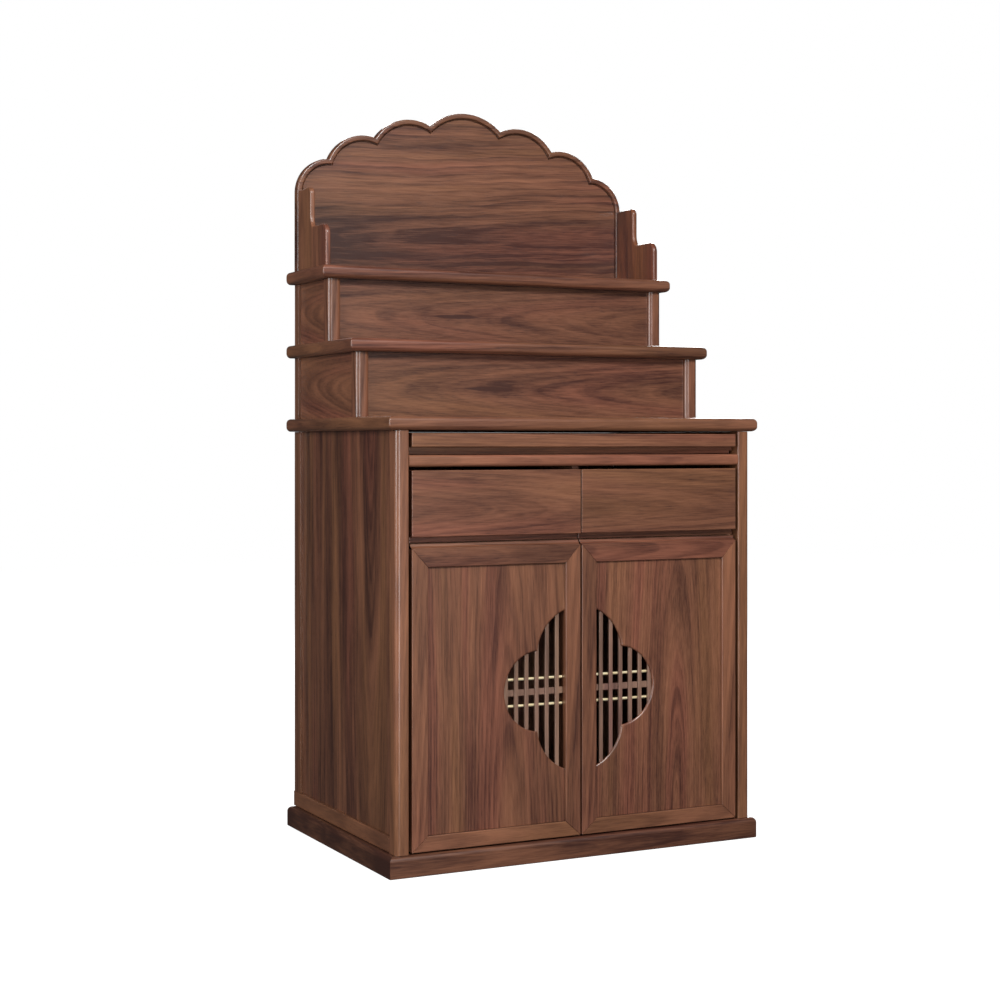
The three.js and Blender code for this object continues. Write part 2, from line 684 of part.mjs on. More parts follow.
const cabinet = new THREE.Group();
const lowerStepTop = worktopTop + riserHeight + boardThickness;
cabinet.add(plinth());
cabinet.add(lowerCabinet());
cabinet.add(tray());
for (const [label, side] of sides) {
  cabinet.add(drawer(label, side));
  cabinet.add(door(label, side));
}
cabinet.add(step('lower_step', worktopTop, lowerStepSetback));
cabinet.add(step('upper_step', lowerStepTop, lowerStepSetback + stepRun));
cabinet.add(crown(lowerStepTop + riserHeight + boardThickness));

export default cabinet;
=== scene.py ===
import math
import bmesh
import bpy
import numpy as np
from mathutils import Matrix, Vector


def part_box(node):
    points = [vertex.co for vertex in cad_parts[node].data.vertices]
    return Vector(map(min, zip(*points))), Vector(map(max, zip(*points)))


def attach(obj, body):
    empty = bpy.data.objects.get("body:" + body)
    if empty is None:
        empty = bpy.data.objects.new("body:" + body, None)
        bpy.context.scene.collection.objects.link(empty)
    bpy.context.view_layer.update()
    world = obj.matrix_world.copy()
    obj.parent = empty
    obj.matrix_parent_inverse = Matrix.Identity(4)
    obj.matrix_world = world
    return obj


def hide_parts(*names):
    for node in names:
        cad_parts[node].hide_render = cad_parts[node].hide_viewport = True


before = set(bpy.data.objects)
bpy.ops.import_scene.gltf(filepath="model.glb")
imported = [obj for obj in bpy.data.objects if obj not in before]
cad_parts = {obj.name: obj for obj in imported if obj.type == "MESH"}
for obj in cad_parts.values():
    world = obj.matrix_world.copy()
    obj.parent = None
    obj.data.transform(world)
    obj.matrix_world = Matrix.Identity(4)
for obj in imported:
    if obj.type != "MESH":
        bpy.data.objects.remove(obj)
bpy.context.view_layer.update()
print("household altar cabinet: frame loaded,", len(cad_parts), "nodes")

mm = 0.001
sides = (("left", -1), ("right", 1))
tiers = ("lower_step", "upper_step")


# surfaces

meshing = {
    "joinReach": 1e-7,  # points closer than this are one
    "crispAngle": 32,  # degrees; edges sharper than this stay crisp
    "leastRadius": 0.12 * mm,
}


def gridMesh(name, points, openProfile=False):
    # points[i, j]: i runs along the path, j across the profile; quads join neighbours. A closed profile is
    # joined round and capped at both ends. An open one gets faces over its rings j = 0 and j = last, and
    # over the ends between them.
    rows, cols = points.shape[:2]
    index = np.arange(rows * cols).reshape(rows, cols)
    across = index if openProfile else np.concatenate([index, index[:, :1]], axis=1)
    quads = np.stack([across[:-1, :-1], across[1:, :-1], across[1:, 1:], across[:-1, 1:]], axis=-1)
    faces = quads.reshape(-1, 4).tolist()
    first, last = index[0].tolist(), index[-1][::-1].tolist()
    if openProfile:
        faces += [index[::-1, 0].tolist(), index[:, -1].tolist(), first + last]
    else:
        faces += [first, last]
    mesh = bpy.data.meshes.new(name)
    mesh.from_pydata(points.reshape(-1, 3).tolist(), [], faces)
    mesh.validate()
    return mesh


def outwards(mesh):
    # joins the points that fall together and turns every face to the outside
    work = bmesh.new()
    work.from_mesh(mesh)
    bmesh.ops.remove_doubles(work, verts=work.verts, dist=meshing["joinReach"])
    bmesh.ops.dissolve_degenerate(work, edges=work.edges, dist=meshing["joinReach"])
    bmesh.ops.recalc_face_normals(work, faces=work.faces)
    work.to_mesh(mesh)
    work.free()


def addPiece(name, mesh, body, nodes, material):
    outwards(mesh)
    mesh.polygons.foreach_set("use_smooth", np.ones(len(mesh.polygons), bool))
    mesh.set_sharp_from_angle(angle=math.radians(meshing["crispAngle"]))
    piece = bpy.data.objects.new(name, mesh)
    bpy.context.scene.collection.objects.link(piece)
    piece.data.materials.append(material)
    # wide faces keep their own normal, and the narrow rounded edges take up the bend
    weighted = piece.modifiers.new("weighted", "WEIGHTED_NORMAL")
    weighted.keep_sharp = True
    weighted.weight = 100
    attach(piece, body)
    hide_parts(*nodes)
    return piece


def addWalnut(name, mesh, body, nodeName, turn, **figure):
    # a walnut piece that stands for one node, with a figure of its own
    return addPiece(name, mesh, body, [nodeName], walnut(nodeName, turn, **figure))


def finish(nodeName, material):
    # a node that is shown as it is, in its own material
    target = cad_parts[nodeName]
    target.data.materials.clear()
    target.data.materials.append(material)


def finishWalnut(nodeName, turn, **figure):
    finish(nodeName, walnut(nodeName, turn, **figure))


def corners(nodeName):
    low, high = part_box(nodeName)
    return np.array(low, float), np.array(high, float)


def quarter(steps):
    return np.linspace(0, math.pi / 2, steps + 1)


def roundedEnds(low, high, ease, steps=3):
    # levels along a bar and the section's inset at each one, both ends rounded over by a quarter circle
    turn = quarter(steps)
    inset = ease * (1 - np.sin(turn))
    rise = ease * (1 - np.cos(turn))
    return np.concatenate([low + rise, (high - rise)[::-1]]), np.concatenate([inset, inset[::-1]])


def rectangleRing(x0, x1, y0, y1, radii, steps=5):
    # rectangle seen from above with its own radius at each corner, anticlockwise from the right rear
    plan = [(x1, y1, -1, -1, 0), (x0, y1, 1, -1, 90), (x0, y0, 1, 1, 180), (x1, y0, -1, 1, 270)]
    parts = []
    for (x, y, inX, inY, start), radius in zip(plan, radii):
        angle = math.radians(start) + quarter(steps)
        parts.append(np.stack([x + inX * radius + radius * np.cos(angle),
                               y + inY * radius + radius * np.sin(angle)], axis=-1))
    return np.concatenate(parts)


def stackedRings(rings, levels, order=(0, 1, 2)):
    # rings of equal count, one per level; order says which axis gets ring x, ring y and the level
    points = np.zeros((len(rings), len(rings[0]), 3))
    points[..., order[0]] = np.asarray(rings)[..., 0]
    points[..., order[1]] = np.asarray(rings)[..., 1]
    points[..., order[2]] = np.asarray(levels)[:, None]
    return points


def roundedBar(name, low, high, axis, radii, ease):
    # a bar along one axis: its section is a rectangle with a radius at each corner
    across, up = [k for k in range(3) if k != axis]
    levels, insets = roundedEnds(low[axis], high[axis], ease)
    rings = []
    for inset in insets:
        shrunk = [max(radius - inset, meshing["leastRadius"]) for radius in radii]
        rings.append(rectangleRing(low[across] + inset, high[across] - inset,
                                   low[up] + inset, high[up] - inset, shrunk))
    return gridMesh(name, stackedRings(rings, levels, (across, up, axis)))


def insetRing(ring, inset):
    # moves a closed anticlockwise outline inwards along the mean normal of the two edges at each point,
    # further at a corner, up to twice as far
    ahead = np.roll(ring, -1, axis=0) - ring
    behind = ring - np.roll(ring, 1, axis=0)
    ahead /= np.linalg.norm(ahead, axis=1)[:, None]
    behind /= np.linalg.norm(behind, axis=1)[:, None]
    normal = np.stack([-(ahead + behind)[:, 1], (ahead + behind)[:, 0]], axis=-1)
    normal /= np.linalg.norm(normal, axis=1)[:, None]
    share = np.einsum("ij,ij->i", normal, np.stack([-ahead[:, 1], ahead[:, 0]], axis=-1))
    return ring + normal * (inset / np.clip(share, 0.5, 1))[:, None]


def signedArea(ring):
    # positive for an anticlockwise outline
    x, y = ring[:, 0], ring[:, 1]
    return 0.5 * float(np.sum(x * np.roll(y, -1) - y * np.roll(x, -1)))


def extrudedSection(name, section, x0, x1, ease):
    # a section in depth and height carried along the width
    levels, insets = roundedEnds(x0, x1, ease)
    return gridMesh(name, stackedRings([insetRing(section, inset) for inset in insets], levels, (1, 2, 0)))


def roundCorner(before, corner, after, radius, steps=4):
    # arc that replaces a corner of a section, tangent to both of its edges: a circle written as a rational
    # quadratic curve
    corner = np.asarray(corner, float)
    toBefore = np.asarray(before, float) - corner
    toAfter = np.asarray(after, float) - corner
    toBefore /= np.linalg.norm(toBefore)
    toAfter /= np.linalg.norm(toAfter)
    cosine = float(toBefore @ toAfter)
    t = np.linspace(0, 1, steps + 1)[:, None]
    weight = math.sqrt(max((1 - cosine) / 2, 1e-6))
    reach = radius / math.tan(math.acos(np.clip(cosine, -1, 1)) / 2)
    start, end = corner + toBefore * reach, corner + toAfter * reach
    top = (1 - t) ** 2 * start + 2 * weight * t * (1 - t) * corner + t ** 2 * end
    return top / ((1 - t) ** 2 + 2 * weight * t * (1 - t) + t ** 2)


def roundedSection(points, steps=4):
    # points: (across, up, radius) in order round the section
    parts = []
    for i, (across, up, radius) in enumerate(points):
        if radius > 0:
            after = points[(i + 1) % len(points)][:2]
            parts.append(roundCorner(points[i - 1][:2], (across, up), after, radius, steps))
        else:
            parts.append(np.array([[across, up]], float))
    return np.concatenate(parts)


def mitredBar(name, section, runs, measured, axes, groove, side=1):
    # A section carried along a straight bar, cut by the joint at each end and eased there by a fine groove.
    # runs gives the bar's start and end for the section's measured column, axes says which axis the
    # section's two columns and the bar's length take, and side -1 mirrors the bar.
    eased = insetRing(section, groove)
    points = np.zeros((4, len(section), 3))
    rows = ((eased, 0, 0), (section, groove, 0), (section, -groove, 1), (eased, 0, 1))
    for k, (ring, push, end) in enumerate(rows):
        points[k, :, axes[0]] = ring[:, 0]
        points[k, :, axes[1]] = ring[:, 1]
        points[k, :, axes[2]] = runs(ring[:, measured])[end] + push
    points[..., 0] *= side
    return gridMesh(name, points)


def joinMeshes(name, meshes):
    # puts the vertices and faces of several closed meshes into one
    vertices, faces, offset = [], [], 0
    for mesh in meshes:
        own = np.zeros(len(mesh.vertices) * 3)
        mesh.vertices.foreach_get("co", own)
        vertices.append(own.reshape(-1, 3))
        faces += [[v + offset for v in polygon.vertices] for polygon in mesh.polygons]
        offset += len(mesh.vertices)
        bpy.data.meshes.remove(mesh)
    made = bpy.data.meshes.new(name)
    made.from_pydata(np.concatenate(vertices).tolist(), [], faces)
    return made


# camera, floor and light

view = {
    "place": (-1.448, -2.78625, 0.670),
    "turn": -26.88,
    "lens": 65.268,
    "shift": -0.0557,
}
camera = bpy.data.objects.new("camera", bpy.data.cameras.new("camera"))
camera.data.sensor_width = 36
camera.data.lens = view["lens"]
camera.data.shift_y = view["shift"]
camera.location = view["place"]
camera.rotation_euler = (math.radians(90), 0, math.radians(view["turn"]))
bpy.context.scene.collection.objects.link(camera)
bpy.context.scene.camera = camera

studio = {
    "floor": 14.0,
    "floorColour": (0.2, 0.2, 0.2, 1),
    "floorRoughness": 0.9,
    "floorGloss": 0.1,
    "floorGlow": 0.97,
    "backdrop": 1.0,
    "ambient": 0.11,
    "mirrored": 0.03,
    "middle": 0.65,  # the lamps are placed round this height
}
# turn to the left of the cabinet's front and rise in degrees, aim is the height that the lamp points at
lamps = {
    "key": {"turn": 2, "rise": 36, "distance": 5.0, "aim": 0.65, "size": 1.2, "power": 205},
    "strip": {"turn": 74, "rise": 16, "distance": 3.0, "aim": 0.8, "size": 1.3, "tall": 2.1, "power": 60},
    "fill": {"turn": 6, "rise": -3, "distance": 4.0, "aim": 0.65, "size": 1.6, "power": 46},
    "rear": {"turn": -150, "rise": 22, "distance": 3.4, "aim": 0.65, "size": 1.8, "power": 120},
}


def areaLight(name, turn, rise, distance, aim, size, power, tall=None):
    turn, rise = math.radians(turn), math.radians(rise)
    place = Vector((-distance * math.cos(rise) * math.sin(turn), -distance * math.cos(rise) * math.cos(turn),
                    studio["middle"] + distance * math.sin(rise)))
    light = bpy.data.lights.new(name, "AREA")
    light.energy = power
    light.size = size
    if tall:
        light.shape = "RECTANGLE"
        light.size_y = tall
    lamp = bpy.data.objects.new(name, light)
    lamp.location = place
    lamp.rotation_euler = (Vector((0, 0, aim)) - place).to_track_quat("-Z", "Y").to_euler()
    bpy.context.scene.collection.objects.link(lamp)


def setInputs(node, values):
    for key, value in values.items():
        node.inputs[key].default_value = value


def makeFloor():
    mesh = bpy.data.meshes.new("floor")
    half = studio["floor"] / 2
    plan = [(-half, -half, 0), (half, -half, 0), (half, half, 0), (-half, half, 0)]
    mesh.from_pydata(plan, [], [(0, 1, 2, 3)])
    floor = bpy.data.objects.new("floor", mesh)
    bpy.context.scene.collection.objects.link(floor)
    floor.visible_diffuse = False
    floor.visible_glossy = False
    pale = bpy.data.materials.new("pale_floor")
    pale.use_nodes = True
    setInputs(pale.node_tree.nodes["Principled BSDF"], {
        "Base Color": studio["floorColour"], "Roughness": studio["floorRoughness"],
        "Specular IOR Level": studio["floorGloss"], "Emission Color": (1, 1, 1, 1),
        "Emission Strength": studio["floorGlow"],
    })
    mesh.materials.append(pale)


def makeWorld():
    world = bpy.data.worlds.new("studio")
    world.use_nodes = True
    bpy.context.scene.world = world
    tree = world.node_tree
    back = tree.nodes["Background"]
    setInputs(back, {"Color": (1, 1, 1, 1)})
    rays = tree.nodes.new("ShaderNodeLightPath")
    # white as a backdrop, soft as a light, and dark where the lacquer would mirror it
    soft = tree.nodes.new("ShaderNodeMapRange")
    setInputs(soft, {"To Min": studio["mirrored"], "To Max": studio["ambient"]})
    tree.links.new(rays.outputs["Is Diffuse Ray"], soft.inputs["Value"])
    level = tree.nodes.new("ShaderNodeMapRange")
    setInputs(level, {"To Max": studio["backdrop"]})
    tree.links.new(rays.outputs["Is Camera Ray"], level.inputs["Value"])
    tree.links.new(soft.outputs["Result"], level.inputs["To Min"])
    tree.links.new(level.outputs["Result"], back.inputs["Strength"])


makeFloor()
makeWorld()
for lampName, values in lamps.items():
    areaLight(lampName, **values)
bpy.context.scene.view_settings.view_transform = "Standard"
print("camera, floor and lights set")


# materials

def feed(tree, socket, value):
    # a number or a colour is set, and the output of another node is linked
    if isinstance(value, (int, float)):
        socket.default_value = value
    elif isinstance(value, tuple):
        socket.default_value = (*value, 1)
    else:
        tree.links.new(value, socket)


def maths(tree, operation, first, second=None, clamp=False):
    made = tree.nodes.new("ShaderNodeMath")
    made.operation = operation
    made.use_clamp = clamp
    feed(tree, made.inputs[0], first)
    if second is not None:
        feed(tree, made.inputs[1], second)
    return made.outputs[0]


def mixColour(tree, factor, first, second, blend="MIX"):
    made = tree.nodes.new("ShaderNodeMix")
    made.data_type = "RGBA"
    made.blend_type = blend
    for slot, value in ((0, factor), (6, first), (7, second)):
        feed(tree, made.inputs[slot], value)
    return made.outputs[2]


def ramp(tree, value, stops):
    # stops: from low, from high, to low, to high
    made = tree.nodes.new("ShaderNodeMapRange")
    made.interpolation_type = "SMOOTHSTEP"
    tree.links.new(value, made.inputs["Value"])
    setInputs(made, dict(zip(("From Min", "From Max", "To Min", "To Max"), stops)))
    return made.outputs["Result"]


def noise(tree, vector, scale=None, place=(0, 0, 0), detail=2, roughness=0.5):
    if scale:
        mapping = tree.nodes.new("ShaderNodeMapping")
        setInputs(mapping, {"Scale": scale, "Location": place})
        tree.links.new(vector, mapping.inputs["Vector"])
        vector = mapping.outputs["Vector"]
    made = tree.nodes.new("ShaderNodeTexNoise")
    setInputs(made, {"Scale": 1.0, "Detail": detail, "Roughness": roughness})
    tree.links.new(vector, made.inputs["Vector"])
    return made.outputs["Fac"]


# lengths are in metres and noise scales per metre: along the grain, across it, and through the board
grain = {
    "knotSize": (0.115, 0.02),
    "knotPush": 0.8,  # how far a knot holds the rings off
    "coreSize": (0.044, 0.0038),
    "noKnot": 9.0,  # far off the board
    "slow": {"scale": (3.2, 9, 9), "detail": 3, "roughness": 0.55},
    "broad": {"detail": 3, "roughness": 0.6},
    "drift": {"scale": (0.8, 0.75, 0.9), "place": (7, 3, 4)},
    "fine": {"scale": (4.5, 190, 60), "place": (1, 6, 3), "detail": 3, "roughness": 0.62},
    "fibre": {"scale": (14, 520, 520), "place": (2, 2, 9), "roughness": 0.65},
    "pore": {"scale": (48, 1100, 1100), "place": (8, 4, 1), "detail": 1},
    "followAcross": 0.35,
    "bandAlong": 1.4,
    "bandAcross": 7.0,
    "broadWave": 1.6,  # the waves in the rings, in rings
    "fineWave": 0.5,
    "middleTone": 0.56,
    "poreTone": 0.16,
    "knotTone": 0.16,
    "coreTone": 0.6,
    "olive": (0.96, 1.01, 0.88),
    "mauve": (1.06, 0.9, 1.02),
}


def walnutGroup():
    # The grain runs along x. Growth rings are circles about an axis near x, bent by slow noise: a face that
    # the axis meets at a slant shows arches, and one far from it shows straight lines. Broad colour bands
    # follow the rings, fibres and pores follow the grain, and a knot pushes the rings aside.
    tree = bpy.data.node_groups.new("walnutFigure", "ShaderNodeTree")
    sockets = tree.interface
    for direction, kind, names in (
            ("INPUT", "Vector", ("Vector",)), ("INPUT", "Color", ("Dark", "Light")),
            ("INPUT", "Float", ("Rings", "Bend", "Ring Depth", "Streaks", "Bands", "Shift")),
            ("INPUT", "Float", ("Knot Along", "Knot Across", "Knot Depth")),
            ("OUTPUT", "Color", ("Colour",)), ("OUTPUT", "Float", ("Roughness", "Height"))):
        for name in names:
            sockets.new_socket(name, in_out=direction, socket_type="NodeSocket" + kind)
    entry = tree.nodes.new("NodeGroupInput").outputs
    leave = tree.nodes.new("NodeGroupOutput").inputs

    def add(first, second, clamp=False):
        return maths(tree, "ADD", first, second, clamp)

    def less(first, second, clamp=False):
        return maths(tree, "SUBTRACT", first, second, clamp)

    def times(first, second):
        return maths(tree, "MULTIPLY", first, second)

    def squared(value):
        return times(value, value)

    def oval(x, y, size):
        # 0 in the middle of an oval and 1 on its edge
        return add(squared(maths(tree, "DIVIDE", x, size[0])), squared(maths(tree, "DIVIDE", y, size[1])))

    def joined(*values):
        made = tree.nodes.new("ShaderNodeCombineXYZ")
        for slot, value in enumerate(values):
            tree.links.new(value, made.inputs[slot])
        return made.outputs[0]

    vector = entry["Vector"]
    parts = tree.nodes.new("ShaderNodeSeparateXYZ")
    tree.links.new(vector, parts.inputs[0])
    alongX, acrossY, deepZ = parts.outputs
    # how close a point is to the knot, 1 at its middle, and a thin dark core in it
    knotX = less(alongX, entry["Knot Along"])
    knotY = less(acrossY, entry["Knot Across"])
    near = times(ramp(tree, oval(knotX, knotY, grain["knotSize"]), (0.0, 1.0, 1, 0)), entry["Knot Depth"])
    bend = times(less(noise(tree, vector, **grain["slow"]), 0.5), entry["Bend"])
    coreY = add(knotY, times(bend, 0.5))
    core = times(ramp(tree, oval(knotX, coreY, grain["coreSize"]), (0.0, 1.3, 1, 0)), entry["Knot Depth"])
    # the rings' radius at this point
    pushed = times(knotY, less(1.0, times(near, grain["knotPush"])))
    y = add(add(pushed, entry["Knot Across"]), bend)
    radius = maths(tree, "SQRT", add(squared(y), squared(deepZ)))
    follow = joined(alongX, radius, times(acrossY, grain["followAcross"]))
    bands = joined(times(alongX, grain["bandAlong"]), times(radius, entry["Bands"]),
                   times(acrossY, grain["bandAcross"]))
    broad = noise(tree, bands, **grain["broad"])
    drift = noise(tree, bands, **grain["drift"])
    fine = noise(tree, follow, **grain["fine"])
    fibre = noise(tree, vector, **grain["fibre"])
    poreMask = ramp(tree, noise(tree, vector, **grain["pore"]), (0.60, 0.72, 0, 1))
    # saw-toothed rings: slow darkening, quick return, each of its own strength
    place = add(times(radius, entry["Rings"]), times(broad, grain["broadWave"]))
    place = add(place, times(fine, grain["fineWave"]))
    fraction = maths(tree, "FRACT", place)
    ring = less(ramp(tree, fraction, (0.2, 0.9, 0, 1)), ramp(tree, fraction, (0.9, 1.0, 0, 1)), clamp=True)
    ring = times(ring, ramp(tree, drift, (0.35, 0.62, 1.0, 0.35)))
    # from 0, the dark colour, to 1, the light one
    tone = add(times(ramp(tree, broad, (0.28, 0.72, -1, 1)), entry["Streaks"]), grain["middleTone"])
    tone = add(tone, ramp(tree, fine, (0.25, 0.75, -0.21, 0.21)))
    tone = add(tone, ramp(tree, fibre, (0.25, 0.75, -0.13, 0.13)))
    for mask, depth in ((ring, entry["Ring Depth"]), (poreMask, grain["poreTone"]), (near, grain["knotTone"]),
                        (core, grain["coreTone"])):
        tone = less(tone, times(mask, depth))
    tone = add(tone, entry["Shift"], clamp=True)
    colour = mixColour(tree, tone, entry["Dark"], entry["Light"])
    # slow drift between a mauve and an olive brown
    colour = mixColour(tree, ramp(tree, drift, (0.5, 0.68, 0, 0.8)), colour, grain["olive"], "MULTIPLY")
    colour = mixColour(tree, ramp(tree, drift, (0.5, 0.32, 0, 0.8)), colour, grain["mauve"], "MULTIPLY")
    tree.links.new(colour, leave["Colour"])
    tree.links.new(add(ramp(tree, fibre, (0.3, 0.7, 0.34, 0.44)), times(poreMask, 0.12)), leave["Roughness"])
    tree.links.new(less(times(fibre, 0.4), times(poreMask, 0.6)), leave["Height"])
    return tree


walnutFigure = walnutGroup()
# rows of each turn: the frame's axis that runs along the grain, across it in the face, and through the board
boardTurns = {
    "frontAlong": ((1, 0, 0), (0, 0, 1), (0, -1, 0)),
    "frontUpright": ((0, 0, 1), (1, 0, 0), (0, 1, 0)),
    "sideAlong": ((0, 1, 0), (0, 0, 1), (1, 0, 0)),
    "sideUpright": ((0, 0, 1), (0, 1, 0), (-1, 0, 0)),
    "topAlong": ((1, 0, 0), (0, 1, 0), (0, 0, 1)),
}
plainWalnut = {
    "rings": 220.0, "bend": 0.012, "depth": 0.17, "streaks": 0.2, "bands": 30.0, "shift": 0.0, "fade": None,
    "aside": 0.0, "behind": 0.06, "slope": 2.0, "lean": 0.0, "seed": 0.0,
    "dark": (0.05, 0.0165, 0.0105), "light": (0.29, 0.118, 0.061),
    "knot": None, "bump": 0.2, "bumpDepth": 0.4 * mm, "gloss": 0.35, "coat": 1.0, "coatRoughness": 0.25,
}


def walnut(nodeName, turn, woodName=None, **changes):
    # behind and aside place the rings' axis from the middle of the node's box, slope tips it towards the face
    # and lean turns the grain in the face, both in degrees; seed moves the pattern along the board. shift
    # makes the wood lighter or darker. fade does so between two heights instead: low, high, and the shift at
    # each. knot is a place in the frame.
    values = {**plainWalnut, **changes}
    low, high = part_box(nodeName)
    middle = (Vector(low) + Vector(high)) / 2
    tip = Matrix.Rotation(math.radians(values["slope"]), 3, "Y")
    lean = Matrix.Rotation(math.radians(values["lean"]), 3, "Z")
    turned = tip @ lean @ Matrix(boardTurns[turn])
    offset = -(turned @ middle) + Vector((values["seed"], -values["aside"], -values["behind"]))
    material = bpy.data.materials.new(woodName or nodeName + "_wood")
    material.use_nodes = True
    tree = material.node_tree
    shader = tree.nodes["Principled BSDF"]
    place = tree.nodes.new("ShaderNodeTexCoord")
    mapping = tree.nodes.new("ShaderNodeMapping")
    setInputs(mapping, {"Rotation": turned.to_euler("XYZ"), "Location": offset})
    tree.links.new(place.outputs["Object"], mapping.inputs["Vector"])
    figure = tree.nodes.new("ShaderNodeGroup")
    figure.node_tree = walnutFigure
    tree.links.new(mapping.outputs[0], figure.inputs["Vector"])
    for socket in ("Dark", "Light", "Rings", "Bend", "Streaks", "Bands", "Shift"):
        feed(tree, figure.inputs[socket], values[socket.lower()])
    away = grain["noKnot"]
    setInputs(figure, {"Ring Depth": values["depth"], "Knot Along": away, "Knot Across": away})
    if values["fade"]:
        zone = tree.nodes.new("ShaderNodeSeparateXYZ")
        tree.links.new(place.outputs["Object"], zone.inputs[0])
        tree.links.new(ramp(tree, zone.outputs[2], values["fade"]), figure.inputs["Shift"])
    if values["knot"]:
        spot = turned @ Vector(values["knot"]) + offset
        setInputs(figure, {"Knot Along": spot.x, "Knot Across": spot.y, "Knot Depth": 1.0})
    raised = tree.nodes.new("ShaderNodeBump")
    setInputs(raised, {"Strength": values["bump"], "Distance": values["bumpDepth"]})
    tree.links.new(figure.outputs["Height"], raised.inputs["Height"])
    tree.links.new(figure.outputs["Colour"], shader.inputs["Base Color"])
    tree.links.new(figure.outputs["Roughness"], shader.inputs["Roughness"])
    tree.links.new(raised.outputs["Normal"], shader.inputs["Normal"])
    setInputs(shader, {"Specular IOR Level": values["gloss"], "Coat Weight": values["coat"],
                       "Coat Roughness": values["coatRoughness"]})
    return material


brass = {
    "metallic": 0.55,
    "cloud": {"scale": (40, 300, 300), "detail": 3},
    "dull": (0.98, 0.8, 0.46),
    "bright": (1.0, 0.9, 0.62),
}


def brassMaterial():
    material = bpy.data.materials.new("brass_rod")
    material.use_nodes = True
    tree = material.node_tree
    shader = tree.nodes["Principled BSDF"].inputs
    shader["Metallic"].default_value = brass["metallic"]
    place = tree.nodes.new("ShaderNodeTexCoord")
    cloud = noise(tree, place.outputs["Object"], **brass["cloud"])
    colour = mixColour(tree, ramp(tree, cloud, (0.35, 0.7, 0, 1)), brass["dull"], brass["bright"])
    tree.links.new(colour, shader["Base Color"])
    tree.links.new(ramp(tree, cloud, (0.3, 0.7, 0.42, 0.56)), shader["Roughness"])
    return material


brassRod = brassMaterial()
print("materials ready")


# plinth

plinthShape = {
    "railWidth": 38 * mm,
    "edge": 8 * mm,
    "innerEdge": 0.5 * mm,
    "edgeSteps": 7,
    "foot": 1.0 * mm,
    "joint": 0.15 * mm,
    "groove": 0.35 * mm,
}


def plinthRail(label, outer, direction, start, end, axes, turn, **figure):
    # outer is the rail's outer face, direction leads inwards from it, and start and end are the plinth's own
    gap, foot = plinthShape["joint"] * math.sqrt(2), plinthShape["foot"]
    top = corners(f"plinth_{label}")[1][2]
    inner = outer + direction * plinthShape["railWidth"]
    section = roundedSection([
        (outer + direction * foot, 0, 0), (outer, foot, 0), (outer, top, plinthShape["edge"]),
        (inner, top, plinthShape["innerEdge"]), (inner, 0, plinthShape["innerEdge"]),
    ], plinthShape["edgeSteps"])

    def runs(across):
        inward = (across - outer) * direction
        return start + inward + gap, end - inward - gap

    mesh = mitredBar(f"plinth_rail_{label}", section if direction < 0 else section[::-1], runs, 0, axes,
                     plinthShape["groove"])
    addWalnut(f"plinth_rail_{label}", mesh, "cabinet", f"plinth_{label}", turn, **figure)


left, right = corners("plinth_left")[0][0], corners("plinth_right")[1][0]
front, back = corners("plinth_front")[0][1], corners("plinth_back")[1][1]
plinthRail("front", front, 1, left, right, (1, 2, 0), "frontAlong", seed=3.1, behind=0.05, slope=1.5,
           shift=-0.24)
plinthRail("back", back, -1, left, right, (1, 2, 0), "frontAlong", seed=5.3)
for label, outer, direction in (("left", left, 1), ("right", right, -1)):
    plinthRail(label, outer, direction, front, back, (0, 2, 1), "sideAlong", seed=outer * 9,
               behind=0.05 * direction, shift=-0.55)
print("plinth made")


# boards

boardShape = {
    "edge": 8 * mm,
    "edgeSteps": 8,
    "corner": 2 * mm,
    "rearCorner": 0.5 * mm,
    "sideways": 0.2,  # a face that looks further to the side than this has the end grain
}
# the figure of each board, and of the strips at its two ends
boardGrain = {
    "worktop": ({"seed": 1.7, "aside": 0.05, "behind": -0.07, "shift": 0.08}, {"seed": 2.2, "behind": 0.28}),
    "lower_step_board": ({"seed": 4.1, "aside": -0.04, "behind": -0.06, "shift": -0.15},
                         {"seed": 6.2, "behind": 0.29}),
    "upper_step_board": ({"seed": 7.3, "aside": 0.03, "behind": -0.06, "shift": -0.17},
                         {"seed": 8.4, "behind": 0.3}),
}


def roundedBoard(nodeName, material, endMaterial):
    # rounded over on its front and side edges; the rear edge stays square
    low, high = corners(nodeName)
    rear, corner = boardShape["rearCorner"], boardShape["corner"]
    levels, insets = roundedEnds(low[2], high[2], boardShape["edge"], boardShape["edgeSteps"])
    radii = [rear, rear, corner, corner]
    rings = [rectangleRing(low[0] + inset, high[0] - inset, low[1] + inset, high[1], radii)
             for inset in insets]
    mesh = gridMesh(nodeName + "_top", stackedRings(rings, levels))
    board = addPiece(nodeName + "_solid", mesh, "cabinet", [nodeName], material)
    board.data.materials.append(endMaterial)
    normals = np.zeros(len(board.data.polygons) * 3)
    board.data.polygons.foreach_get("normal", normals)
    normals = np.abs(normals.reshape(-1, 3))
    onSide = normals[:, 0] > np.maximum(normals[:, 1], boardShape["sideways"])
    board.data.polygons.foreach_set("material_index", onSide.astype(np.int32))


for nodeName, (face, end) in boardGrain.items():
    stem = nodeName.replace("_board", "")
    roundedBoard(nodeName, walnut(nodeName, "topAlong", stem + "_wood", **face),
                 walnut(nodeName, "sideAlong", stem + "_end_wood", **end))
print("boards made")


# posts, panels and rails of the carcass

postShape = {
    "outer": 7.5 * mm,
    "inner": 2.5 * mm,
    "rear": 7 * mm,
    "fine": 0.4 * mm,
    "end": 0.4 * mm,
}


